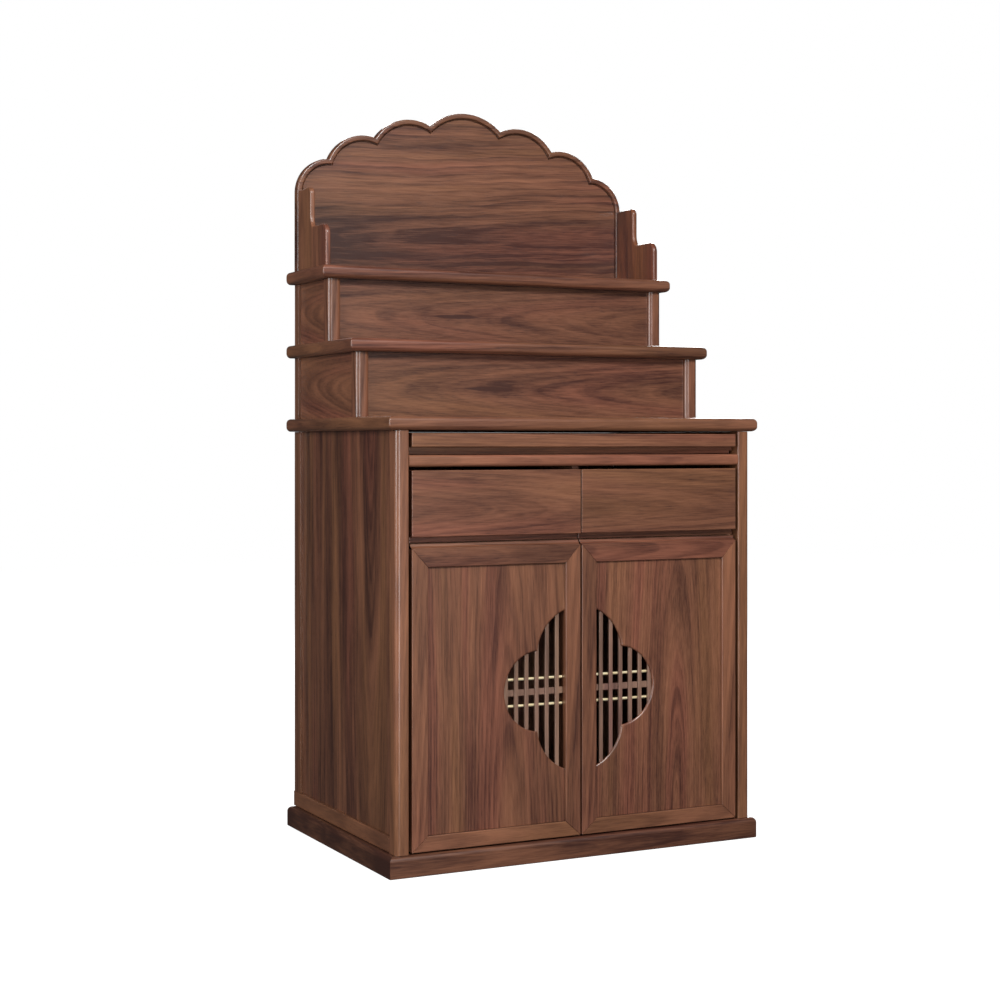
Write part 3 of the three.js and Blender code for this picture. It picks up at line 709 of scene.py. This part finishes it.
def post(nodeName, side, turn, outerFront, innerFront, outerRear, **figure):
    radii = [outerRear, postShape["fine"], innerFront, outerFront]
    if side < 0:
        radii = [postShape["fine"], outerRear, outerFront, innerFront]
    low, high = corners(nodeName)
    mesh = roundedBar(nodeName + "_bar", low, high, 2, radii, postShape["end"])
    addWalnut(nodeName + "_solid", mesh, "cabinet", nodeName, turn, **figure)


def posts(label, side):
    outer, inner, rear, fine = (postShape[key] for key in ("outer", "inner", "rear", "fine"))
    low, high = corners(f"post_front_{label}")
    x = (low[0] + high[0]) / 2
    post(f"post_front_{label}", side, "frontUpright", outer, inner, fine, seed=x * 7, aside=0.05,
         shift=0.09 - 0.07 * side)
    post(f"post_rear_{label}", side, "sideUpright", fine, fine, rear, seed=x * 8, aside=0.05)
    for tier in tiers:
        post(f"{tier}_post_front_{label}", side, "frontUpright", outer, outer, fine,
             seed=x * 9 + len(tier), aside=0.04)
        post(f"{tier}_post_rear_{label}", side, "sideUpright", fine, fine, outer,
             seed=x * 5 + len(tier), aside=0.04)


stepFront = {
    "seeds": (2.6, 3.3),
    "knotAcross": -0.085,
    "knotDrop": 4 * mm,  # below the middle of the panel
    "figure": {"behind": -0.05, "slope": 3.0, "aside": -0.006, "streaks": 0.09, "depth": 0.12,
               "shift": -0.17},
}
innerWood = {
    "dark": (0.09, 0.04, 0.026),
    "light": (0.34, 0.175, 0.108),
    "gloss": 0.3,
    "coat": 0.0,
}


def carcass():
    for label, side in sides:
        finishWalnut(f"side_panel_{label}", "sideUpright", seed=2.0 * side, behind=0.045, slope=-3.0,
                     aside=-0.11, streaks=0.32, shift=-0.13)
        finishWalnut(f"side_rail_{label}", "sideAlong", seed=3.0 * side)
        for tier in tiers:
            finishWalnut(f"{tier}_side_{label}", "sideAlong", seed=side + len(tier) / 7, behind=0.04,
                         slope=6.0, lean=4.0 * side, shift=0.08)
    for tier, seed in zip(tiers, stepFront["seeds"]):
        low, high = corners(f"{tier}_front")
        knot = (stepFront["knotAcross"], low[1], (low[2] + high[2]) / 2 - stepFront["knotDrop"])
        finishWalnut(f"{tier}_front", "frontAlong", seed=seed, knot=knot, **stepFront["figure"])
    finishWalnut("tray_deck", "frontAlong", seed=4.4, behind=0.27, shift=0.28)
    plainer = walnut("cabinet_floor", "topAlong", "inner_wood", **innerWood)
    upright = walnut("cabinet_back", "frontUpright", "inner_wood_upright", **innerWood)
    for nodeName in ("cabinet_floor", "drawer_deck", "drawer_divider", "lower_step_back", "upper_step_back",
                     "drawer_left_box", "drawer_right_box"):
        finish(nodeName, plainer)
    finish("cabinet_back", upright)


for label, side in sides:
    posts(label, side)
carcass()
print("carcass made")


# offering tray and drawer fronts

frontShape = {
    "edge": 1.5 * mm,
    "rearEdge": 0.4 * mm,
    "pullEdge": 0.5 * mm,
    "pullCorner": 1.0 * mm,
    "pullDepth": 12 * mm,
    "drawerPull": 8.6 * mm,
    "drawerEnd": 0.9 * mm,
    "trayPull": 6.4 * mm,
    "trayEnd": 0.7 * mm,
    "thickness": 20 * mm,
    "boardThickness": 12 * mm,
    "stripRise": 5 * mm,  # the strip's foot above the underside of the tray's board
}
drawerGrain = {
    "left": {"seed": 0.4, "behind": -0.045, "slope": -2.5, "aside": -0.006, "streaks": 0.14, "depth": 0.13},
    "right": {"seed": 0.7, "behind": -0.03, "slope": -2.0, "aside": -0.004, "streaks": 0.15, "depth": 0.13,
              "shift": -0.02},
}


def faceWithPull(front, foot, top, pull, rearPoints):
    # section of a face board with a finger pull along its foot, the points behind it given from the foot up
    deep, edge = front + frontShape["pullDepth"], frontShape["edge"]
    return roundedSection([
        (deep, foot, frontShape["pullEdge"]), *rearPoints, (front, top, edge), (front, foot + pull, edge),
        (deep, foot + pull, frontShape["pullCorner"]),
    ])


def drawerFace(label):
    low, high = corners(f"drawer_{label}_front")
    rearEdge = frontShape["rearEdge"]
    section = faceWithPull(low[1], low[2], high[2], frontShape["drawerPull"],
                           [(high[1], low[2], rearEdge), (high[1], high[2], rearEdge)])
    mesh = extrudedSection(f"drawer_face_{label}", section, low[0], high[0], frontShape["drawerEnd"])
    addWalnut(f"drawer_face_{label}", mesh, f"drawer_{label}", f"drawer_{label}_front", "frontAlong",
              woodName=f"drawer_{label}_wood", **drawerGrain[label])


def offeringTray():
    low, high = corners("offering_tray")
    foot, rear, rearEdge = low[2], high[1], frontShape["rearEdge"]
    stripFoot = foot + frontShape["stripRise"]
    boardTop = foot + frontShape["boardThickness"]
    strip = low[1] + frontShape["thickness"]
    section = faceWithPull(low[1], stripFoot, high[2], frontShape["trayPull"], [
        (strip, stripFoot, 0), (strip, foot, 0), (rear, foot, rearEdge), (rear, boardTop, rearEdge),
        (strip, boardTop, 0), (strip, high[2], frontShape["pullEdge"]),
    ])
    mesh = extrudedSection("offering_board", section, low[0], high[0], frontShape["trayEnd"])
    addWalnut("offering_board", mesh, "tray", "offering_tray", "frontAlong", woodName="tray_wood",
              seed=2.7, behind=0.2, aside=0.03)


for label, side in sides:
    drawerFace(label)
offeringTray()
print("tray and drawers made")


# doors

doorShape = {
    "stile": 27.5 * mm,
    "meetingGap": 2.5 * mm,
    "coveHeight": 7 * mm,
    "coveDepth": 8 * mm,
    "coveSteps": 6,
    "coveLip": (0.25 * mm, 0.1 * mm),  # a fine step below the cove: inwards and up, then down
    "coveDrop": 0.5 * mm,
    "bottomRail": 24.2 * mm,
    "topFace": 29.4 * mm,
    "edge": 1.3 * mm,
    "rearEdge": 0.4 * mm,
    "innerRearEdge": 0.3 * mm,
    "groove": 0.45 * mm,
    "joint": 0.3 * mm / math.sqrt(2),
    "panelThickness": 12 * mm,
    "panelEdge": 0.4 * mm,
    "windowLevel": 273.7 * mm,
    "uprightOffset": 55 * mm,
    "uprightRadius": 82 * mm,
    "sideOffset": 72.5 * mm,
    "sideRadius": 68.5 * mm,
    "rimWidth": 3.5 * mm,
    "rimDepth": 2.3 * mm,
    "rimSteps": 6,
    "directions": 181,  # from the window's middle, over half a turn
    "cuspSearch": 4001,
    "lip": 2.6 * mm,
    "pocketMargin": 8 * mm,
    "slatDepth": 4 * mm,
    "slatWidth": 7 * mm,
    "firstSlatGap": 8.8 * mm,
    "slatGap": 11.5 * mm,
    "slatEdge": 0.8 * mm,
    "slatFrontEdge": 0.3 * mm,
    "latticeEnd": 0.3 * mm,
    "barDrop": 1.6 * mm,  # the cross bar's middle below the window's
    "barHalf": 5.15 * mm,
    "barTuck": 0.3 * mm,  # how far it is let into the slats
    "barEdge": 0.6 * mm,
}
panelGrain = {
    "left": {"seed": 0.3, "behind": 0.05, "slope": 2.0, "aside": 0.02, "lean": 1.0,
             "fade": (0.08, 0.3, -0.12, 0.0)},
    "right": {"seed": 0.8, "behind": 0.012, "slope": 5.0, "aside": 0.035, "lean": -0.5,
              "fade": (0.08, 0.35, -0.12, -0.05)},
}
latticeGrain = {"dark": (0.09, 0.05, 0.036), "light": (0.3, 0.17, 0.12), "shift": 0.1}
rodShape = {"sides": 32, "ease": 0.5 * mm}


def windowReach(angle, centreX, inset):
    # distance from (centreX, 0) to the far side of the window in each direction: the largest of its circles'
    # exits, c.d + sqrt(r^2 - |c|^2 + (c.d)^2)
    lobes = [(doorShape["sideOffset"], 0, doorShape["sideRadius"])]
    lobes += [(0, sign * doorShape["uprightOffset"], doorShape["uprightRadius"]) for sign in (1, -1)]
    best = np.zeros_like(angle)
    for x, z, radius in lobes:
        x = x - centreX
        along = x * np.cos(angle) + z * np.sin(angle)
        inside = (radius - inset) ** 2 - x ** 2 - z ** 2 + along ** 2
        best = np.maximum(best, along + np.sqrt(np.maximum(inside, 0)))
    return best


def rectangleReach(angle, right, up, down):
    # distance from the centre to a rectangle's sides in each direction, right of the centre only
    cos, sin = np.maximum(np.cos(angle), 1e-9), np.sin(angle)
    vertical = np.where(sin >= 0, up / np.maximum(sin, 1e-9), down / np.maximum(-sin, 1e-9))
    return np.minimum(right / cos, vertical)


def nearAndFar(low, high, side):
    # distances from the line where the doors meet
    return (low[0], high[0]) if side > 0 else (-high[0], -low[0])


def doorPanel(label, side, body):
    low, high = corners(f"door_{label}_panel")
    near, far = nearAndFar(low, high, side)
    front, rear = low[1], low[1] + doorShape["panelThickness"]
    level, lip, edge = doorShape["windowLevel"], doorShape["lip"], doorShape["panelEdge"]
    rimWidth = doorShape["rimWidth"]
    wide, up, down = far - near, high[2] - level, level - low[2]
    pocketRight = doorShape["sideOffset"] + doorShape["sideRadius"] + doorShape["pocketMargin"] - near
    pocketUp = doorShape["uprightOffset"] + doorShape["uprightRadius"] + doorShape["pocketMargin"]
    # the corners, and the cusps where the circle of a side lobe meets that of an upright lobe
    extra = [math.atan2(up, wide), -math.atan2(down, wide),
             math.atan2(pocketUp, pocketRight), -math.atan2(pocketUp, pocketRight)]
    fine = np.linspace(-math.pi / 2, math.pi / 2, doorShape["cuspSearch"])
    bends = np.diff(np.sign(np.diff(windowReach(fine, near, 0))))
    cusps = [fine[i + 1] for i in np.nonzero(bends > 0)[0]]
    directions = np.linspace(-math.pi / 2, math.pi / 2, doorShape["directions"])
    angle = np.unique(np.concatenate([directions, extra, cusps]))
    outline = rectangleReach(angle, wide, up, down)
    pocket = rectangleReach(angle, pocketRight, pocketUp, pocketUp)
    # depth and reach, from the outer edge over the face to the window's rim, and behind it back outwards
    stations = [(front + edge, outline), (front, rectangleReach(angle, wide - edge, up - edge, down - edge))]
    for turn in quarter(doorShape["rimSteps"]):
        stations.append((front + doorShape["rimDepth"] * (1 - np.cos(turn)),
                         windowReach(angle, near, rimWidth * np.sin(turn))))
    stations += [(front + lip, windowReach(angle, near, rimWidth)), (front + lip, pocket), (rear, pocket),
                 (rear, outline)]
    points = np.zeros((len(angle), len(stations), 3))
    for k, (depth, reach) in enumerate(stations):
        points[:, k, 0] = side * (near + reach * np.cos(angle))
        points[:, k, 1] = depth
        points[:, k, 2] = level + reach * np.sin(angle)
    addPiece(f"door_panel_{label}", gridMesh(f"door_panel_{label}", points), body, [f"door_{label}_panel"],
             walnut(f"door_{label}_panel", "frontUpright", **panelGrain[label]))


def doorFrame(label, side, body):
    outer = nearAndFar(*corners(f"door_{label}_stile_hinge"), side)[1]
    meeting = nearAndFar(*corners(f"door_{label}_stile_meeting"), side)[0]
    topLow, topHigh = corners(f"door_{label}_top_rail")
    front, back, top = topLow[1], topHigh[1], topHigh[2]
    foot = corners(f"door_{label}_bottom_rail")[0][2]
    stile, edge, joint, groove = (doorShape[key] for key in ("stile", "edge", "joint", "groove"))
    faceTop = top - doorShape["coveHeight"]
    panelTop = faceTop - doorShape["topFace"]
    panelFoot = foot + doorShape["bottomRail"]
    ratioTop = stile / (faceTop - panelTop)
    ratioFoot = stile / doorShape["bottomRail"]

    def topRuns(height):
        # the mitre slants from the frame's outer upper corner to the panel's corner
        drop = np.clip((faceTop - height) * ratioTop, 0, None)
        return meeting + drop, outer - drop

    def footRuns(height):
        rise = np.clip((height - foot) * ratioFoot, 0, None)
        return meeting + rise, outer - rise

    # sections of the rails, in depth and height; a hollow moulding runs along the top rail's upper edge
    turn = quarter(doorShape["coveSteps"])[::-1]
    cove = np.stack([front + doorShape["coveDepth"] * np.sin(turn),
                     top - doorShape["coveHeight"] * np.cos(turn)], axis=-1)
    lipIn, lipUp = doorShape["coveLip"]
    lower = roundCorner((front, faceTop), (front, panelTop), (back, panelTop), edge)
    lip = [[front + lipIn, faceTop + lipUp], [front, faceTop - doorShape["coveDrop"]]]
    topSection = np.concatenate([[[back, panelTop], [back, top]], cove[:-1], lip, lower])
    upper = roundCorner((back, panelFoot), (front, panelFoot), (front, foot), edge)
    under = roundCorner((front, panelFoot), (front, foot), (back, foot), edge)
    footSection = np.concatenate([upper, under, [[back, foot], [back, panelFoot]]])
    for place, rail, section, runs, figure in (
            ("top", "top_rail", topSection, topRuns, {"seed": 1.3 * side, "shift": -0.14}),
            ("foot", "bottom_rail", footSection, footRuns, {"seed": 2.3 * side})):
        mesh = mitredBar(f"door_{place}_{label}", section, runs, 1, (1, 2, 0), groove, side)
        addWalnut(f"door_{place}_{label}", mesh, body, f"door_{label}_{rail}", "frontAlong",
                  woodName=f"door_{label}_{place}_wood", **figure)

    # sections of the stiles, across and in depth
    for part, outerLine, outward in (("hinge", outer, 1), ("meeting", meeting, -1)):
        face = outerLine - outward * stile
        section = roundedSection([
            (outerLine, front, edge), (outerLine, back, doorShape["rearEdge"]),
            (face, back, doorShape["innerRearEdge"]), (face, front, edge),
        ])

        def stileRuns(across):
            away = np.clip(np.abs(outerLine - across), 0, stile)
            return foot + away / ratioFoot + joint * 2, faceTop - away / ratioTop - joint

        mesh = mitredBar(f"door_stile_{part}_{label}", section if signedArea(section) > 0 else section[::-1],
                         stileRuns, 0, (0, 1, 2), groove, side)
        addWalnut(f"door_stile_{part}_{label}", mesh, body, f"door_{label}_stile_{part}", "frontUpright",
                  woodName=f"door_{label}_{part}_wood", seed=3.3 * side * outward, aside=0.04,
                  shift=0.08 * outward)


def doorLattice(label, side, body):
    low, high = corners(f"door_{label}_lattice")
    near, far = nearAndFar(low, high, side)
    front, rear, wide = low[1], low[1] + doorShape["slatDepth"], doorShape["slatWidth"]
    edge, frontEdge, end = (doorShape[key] for key in ("slatEdge", "slatFrontEdge", "latticeEnd"))
    meshes = []
    x = doorShape["meetingGap"] / 2 + doorShape["stile"] + doorShape["firstSlatGap"]
    while x + wide < far:
        a, b = sorted((side * x, side * (x + wide)))
        meshes.append(roundedBar("slat", (a, front, low[2]), (b, rear, high[2]), 2,
                                 [frontEdge, frontEdge, edge, edge], end))
        x += wide + doorShape["slatGap"]
    a, b = sorted((side * near, side * far))
    middle = doorShape["windowLevel"] - doorShape["barDrop"]
    meshes.append(roundedBar("bar", (a, rear - doorShape["barTuck"], middle - doorShape["barHalf"]),
                             (b, high[1], middle + doorShape["barHalf"]), 0, [doorShape["barEdge"]] * 4, end))
    addWalnut(f"door_lattice_{label}", joinMeshes(f"door_lattice_{label}", meshes), body,
              f"door_{label}_lattice", "frontUpright", seed=0.5 * side, **latticeGrain)


def doorRods(label, body):
    angle = np.linspace(0, 2 * math.pi, rodShape["sides"], endpoint=False)
    for place in ("lower", "upper"):
        nodeName = f"door_{label}_rod_{place}"
        low, high = corners(nodeName)
        radius = (high[1] - low[1]) / 2
        y, z = (low[1] + high[1]) / 2, (low[2] + high[2]) / 2
        levels, insets = roundedEnds(low[0], high[0], rodShape["ease"])
        rings = [np.stack([y + r * np.cos(angle), z + r * np.sin(angle)], axis=-1) for r in radius - insets]
        mesh = gridMesh(f"rod_{label}_{place}", stackedRings(rings, levels, (1, 2, 0)))
        addPiece(f"rod_{label}_{place}", mesh, body, [nodeName], brassRod)


for label, side in sides:
    body = f"door_{label}"
    doorFrame(label, side, body)
    doorPanel(label, side, body)
    doorLattice(label, side, body)
    doorRods(label, body)
print("doors made")


# backboard and wings

crownShape = {
    "spring": 140 * mm,
    "rimWidth": 9 * mm,
    "rimHeight": 5.5 * mm,
    "rimEdge": 3 * mm,
    "innerEdge": 2 * mm,
    "grooveDepth": 2.2 * mm,
    "grooveWidth": 2.6 * mm,
    "grooveFlat": 0.7,  # share of the groove's width that is flat
    "rearEdge": 5.5 * mm,
    # centre across, centre above the spring and radius, as shares of the half width
    "lobes": [(0.808, 0, 0.192), (0.608, 0.105, 0.228), (0.331, 0.183, 0.258), (0, 0.18, 0.3205)],
    "lobeSteps": 26,
}
backboardGrain = {
    "seed": 1.1, "behind": -0.03, "slope": 1.5, "aside": -0.07, "lean": -3.0, "bend": 0.03, "streaks": 0.16,
    "rings": 75, "depth": 0.26, "fade": (1.03, 1.13, -0.34, -0.1),
}


def lobeOutline(half, inset):
    # seven circles in a row; each lobe runs from its crossing with the last one to its crossing with the next
    spring, edge = crownShape["spring"], half - inset
    lobes = [(x * half, spring + z * half, r * half - inset) for x, z, r in crownShape["lobes"]]
    lobes += [(-x, z, r) for x, z, r in lobes[:-1][::-1]]

    def crossing(first, second):
        ax, az, ar = first
        bx, bz, br = second
        gap = math.hypot(bx - ax, bz - az)
        along = (gap ** 2 + ar ** 2 - br ** 2) / (2 * gap)
        up = math.sqrt(max(ar ** 2 - along ** 2, 0))
        dx, dz = (bx - ax) / gap, (bz - az) / gap
        options = [(ax + dx * along - dz * up * sign, az + dz * along + dx * up * sign) for sign in (1, -1)]
        return max(options, key=lambda p: math.hypot(p[0], p[1] - spring))

    cusps = [(edge, spring), *(crossing(a, b) for a, b in zip(lobes, lobes[1:])), (-edge, spring)]
    parts = [[[edge, 0.0]]]
    for (x, z, radius), before, after in zip(lobes, cusps, cusps[1:]):
        start = math.atan2(before[1] - z, before[0] - x)
        end = math.atan2(after[1] - z, after[0] - x)
        if end < start:
            end += 2 * math.pi
        angle = np.linspace(start, end, crownShape["lobeSteps"] + 1)[:-1]
        parts.append(np.stack([x + radius * np.cos(angle), z + radius * np.sin(angle)], axis=-1))
    return np.concatenate([*parts, [[-edge, spring], [-edge, 0.0]]])


def backboard():
    low, high = corners("backboard")
    half = (high[0] - low[0]) / 2
    front, back, foot = low[1], high[1], low[2]
    rear, rim, inner, rimWidth = (crownShape[key] for key in ("rearEdge", "rimEdge", "innerEdge", "rimWidth"))
    # inset from the outline and depth, from the rear face round the edge and over the rim to the field
    profile = [(rear * (1 - math.sin(turn)), back - rear * (1 - math.cos(turn))) for turn in quarter(6)]
    profile += [(rim * (1 - math.cos(turn)), front + rim * (1 - math.sin(turn))) for turn in quarter(6)]
    profile += [(rimWidth - inner * (1 - math.sin(turn)), front + inner * (1 - math.cos(turn)))
                for turn in quarter(5)]
    # a fine groove at the foot of the rim
    field, wide = front + crownShape["rimHeight"], crownShape["grooveWidth"]
    sunk = field + crownShape["grooveDepth"]
    flat = wide * crownShape["grooveFlat"]
    profile += [(rimWidth, sunk), (rimWidth + flat, sunk), (rimWidth + wide, field)]
    rings = [lobeOutline(half, station[0]) for station in profile]
    points = np.zeros((len(rings[0]), len(profile), 3))
    for k, (ring, station) in enumerate(zip(rings, profile)):
        points[:, k, 0] = ring[:, 0]
        points[:, k, 1] = station[1]
        points[:, k, 2] = foot + ring[:, 1]
    addPiece("scalloped_board", gridMesh("scalloped_board", points, openProfile=True), "cabinet",
             ["backboard"], walnut("backboard", "frontAlong", **backboardGrain))


wingShape = {
    "edge": 3 * mm,
    "edgeSteps": 5,
    "arcSteps": 8,
    "lowerHeight": 72 * mm,
    "upperHeight": 142 * mm,
    "depth": 135 * mm,
    "upperDepth": 62 * mm,
    "lowerRadius": 19 * mm,
    "upperRadius": 12 * mm,
    "hollowDepth": 12 * mm,
    "hollowHeight": 20 * mm,
}


def wing(label, side):
    low, high = corners(f"wing_{label}")
    shape, turn = wingShape, quarter(wingShape["arcSteps"])

    def roundedTip(depth, height, radius):
        return np.stack([depth - radius + radius * np.cos(turn),
                         height - radius + radius * np.sin(turn)], axis=-1)

    hollow = np.stack([shape["upperDepth"] + shape["hollowDepth"] - shape["hollowDepth"] * np.sin(turn),
                       shape["lowerHeight"] + shape["hollowHeight"] * (1 - np.cos(turn))], axis=-1)
    # forward from the backboard, and up
    lower = roundedTip(shape["depth"], shape["lowerHeight"], shape["lowerRadius"])
    upper = roundedTip(shape["upperDepth"], shape["upperHeight"], shape["upperRadius"])
    ring = np.concatenate([[[0, 0], [shape["depth"], 0]], lower, hollow, upper, [[0, shape["upperHeight"]]]])
    levels, insets = roundedEnds(low[0], high[0], shape["edge"], shape["edgeSteps"])
    rings = [insetRing(ring, inset) * (-1, 1) + (high[1], low[2]) for inset in insets]
    mesh = gridMesh(f"stepped_wing_{label}", stackedRings(rings, levels, (1, 2, 0)))
    addWalnut(f"stepped_wing_{label}", mesh, "cabinet", f"wing_{label}", "sideUpright", seed=1.9 * side,
              aside=0.05, shift=-0.06 - 0.08 * side, light=(0.3, 0.11 - 0.01 * side, 0.053 - 0.01 * side))


backboard()
for label, side in sides:
    wing(label, side)
print("crown made")
